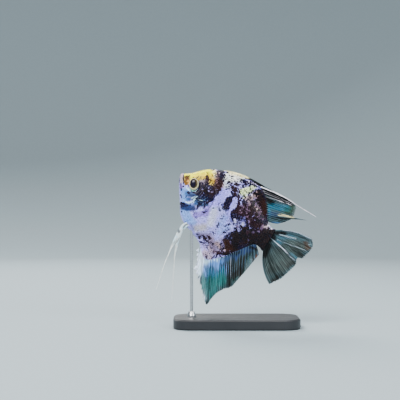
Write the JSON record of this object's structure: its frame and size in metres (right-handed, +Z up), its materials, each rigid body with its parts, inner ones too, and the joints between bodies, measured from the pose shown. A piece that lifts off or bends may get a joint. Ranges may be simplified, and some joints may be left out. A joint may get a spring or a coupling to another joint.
{
  "type": "marble angelfish display model",
  "caption": "Life-size still model of a marble angelfish, nose up with spread fins and trailing threads, held on a rod over a flat base.",
  "frame": {"origin": "middle of the underside of the stand's base", "axes": "+Z up, -X the way the fish faces, -Y the fish's left side"},
  "size_m": [0.1252, 0.052, 0.123],
  "materials": {
    "skin": "wet scaled skin, silver-lilac with black marbling and a yellow crown",
    "eye": "clear domed eye, black pupil in a pale gold ring",
    "fin": "thin translucent membrane on pale rays, smoky towards the rear",
    "thread": "pale satin fin threads with a few dark specks",
    "base": "satin black powder coat",
    "rod": "fine brushed steel"
  },
  "bodies": {
    "root": {"head": "skin", "upper_jaw": "skin", "lower_jaw": "skin", "gill_cover_left": "skin", "gill_cover_right": "skin", "trunk": "skin", "tail_stem": "skin", "eye_left": "eye", "eye_right": "eye", "dorsal_fin": "fin", "anal_fin": "fin", "caudal_fin": "fin", "pectoral_fin_left": "fin", "pectoral_fin_right": "fin", "pelvic_fin_left": "thread", "pelvic_fin_right": "thread", "stand_base": "base", "stand_rod": "rod", "stand_collar": "rod"}
  },
  "joints": []
}
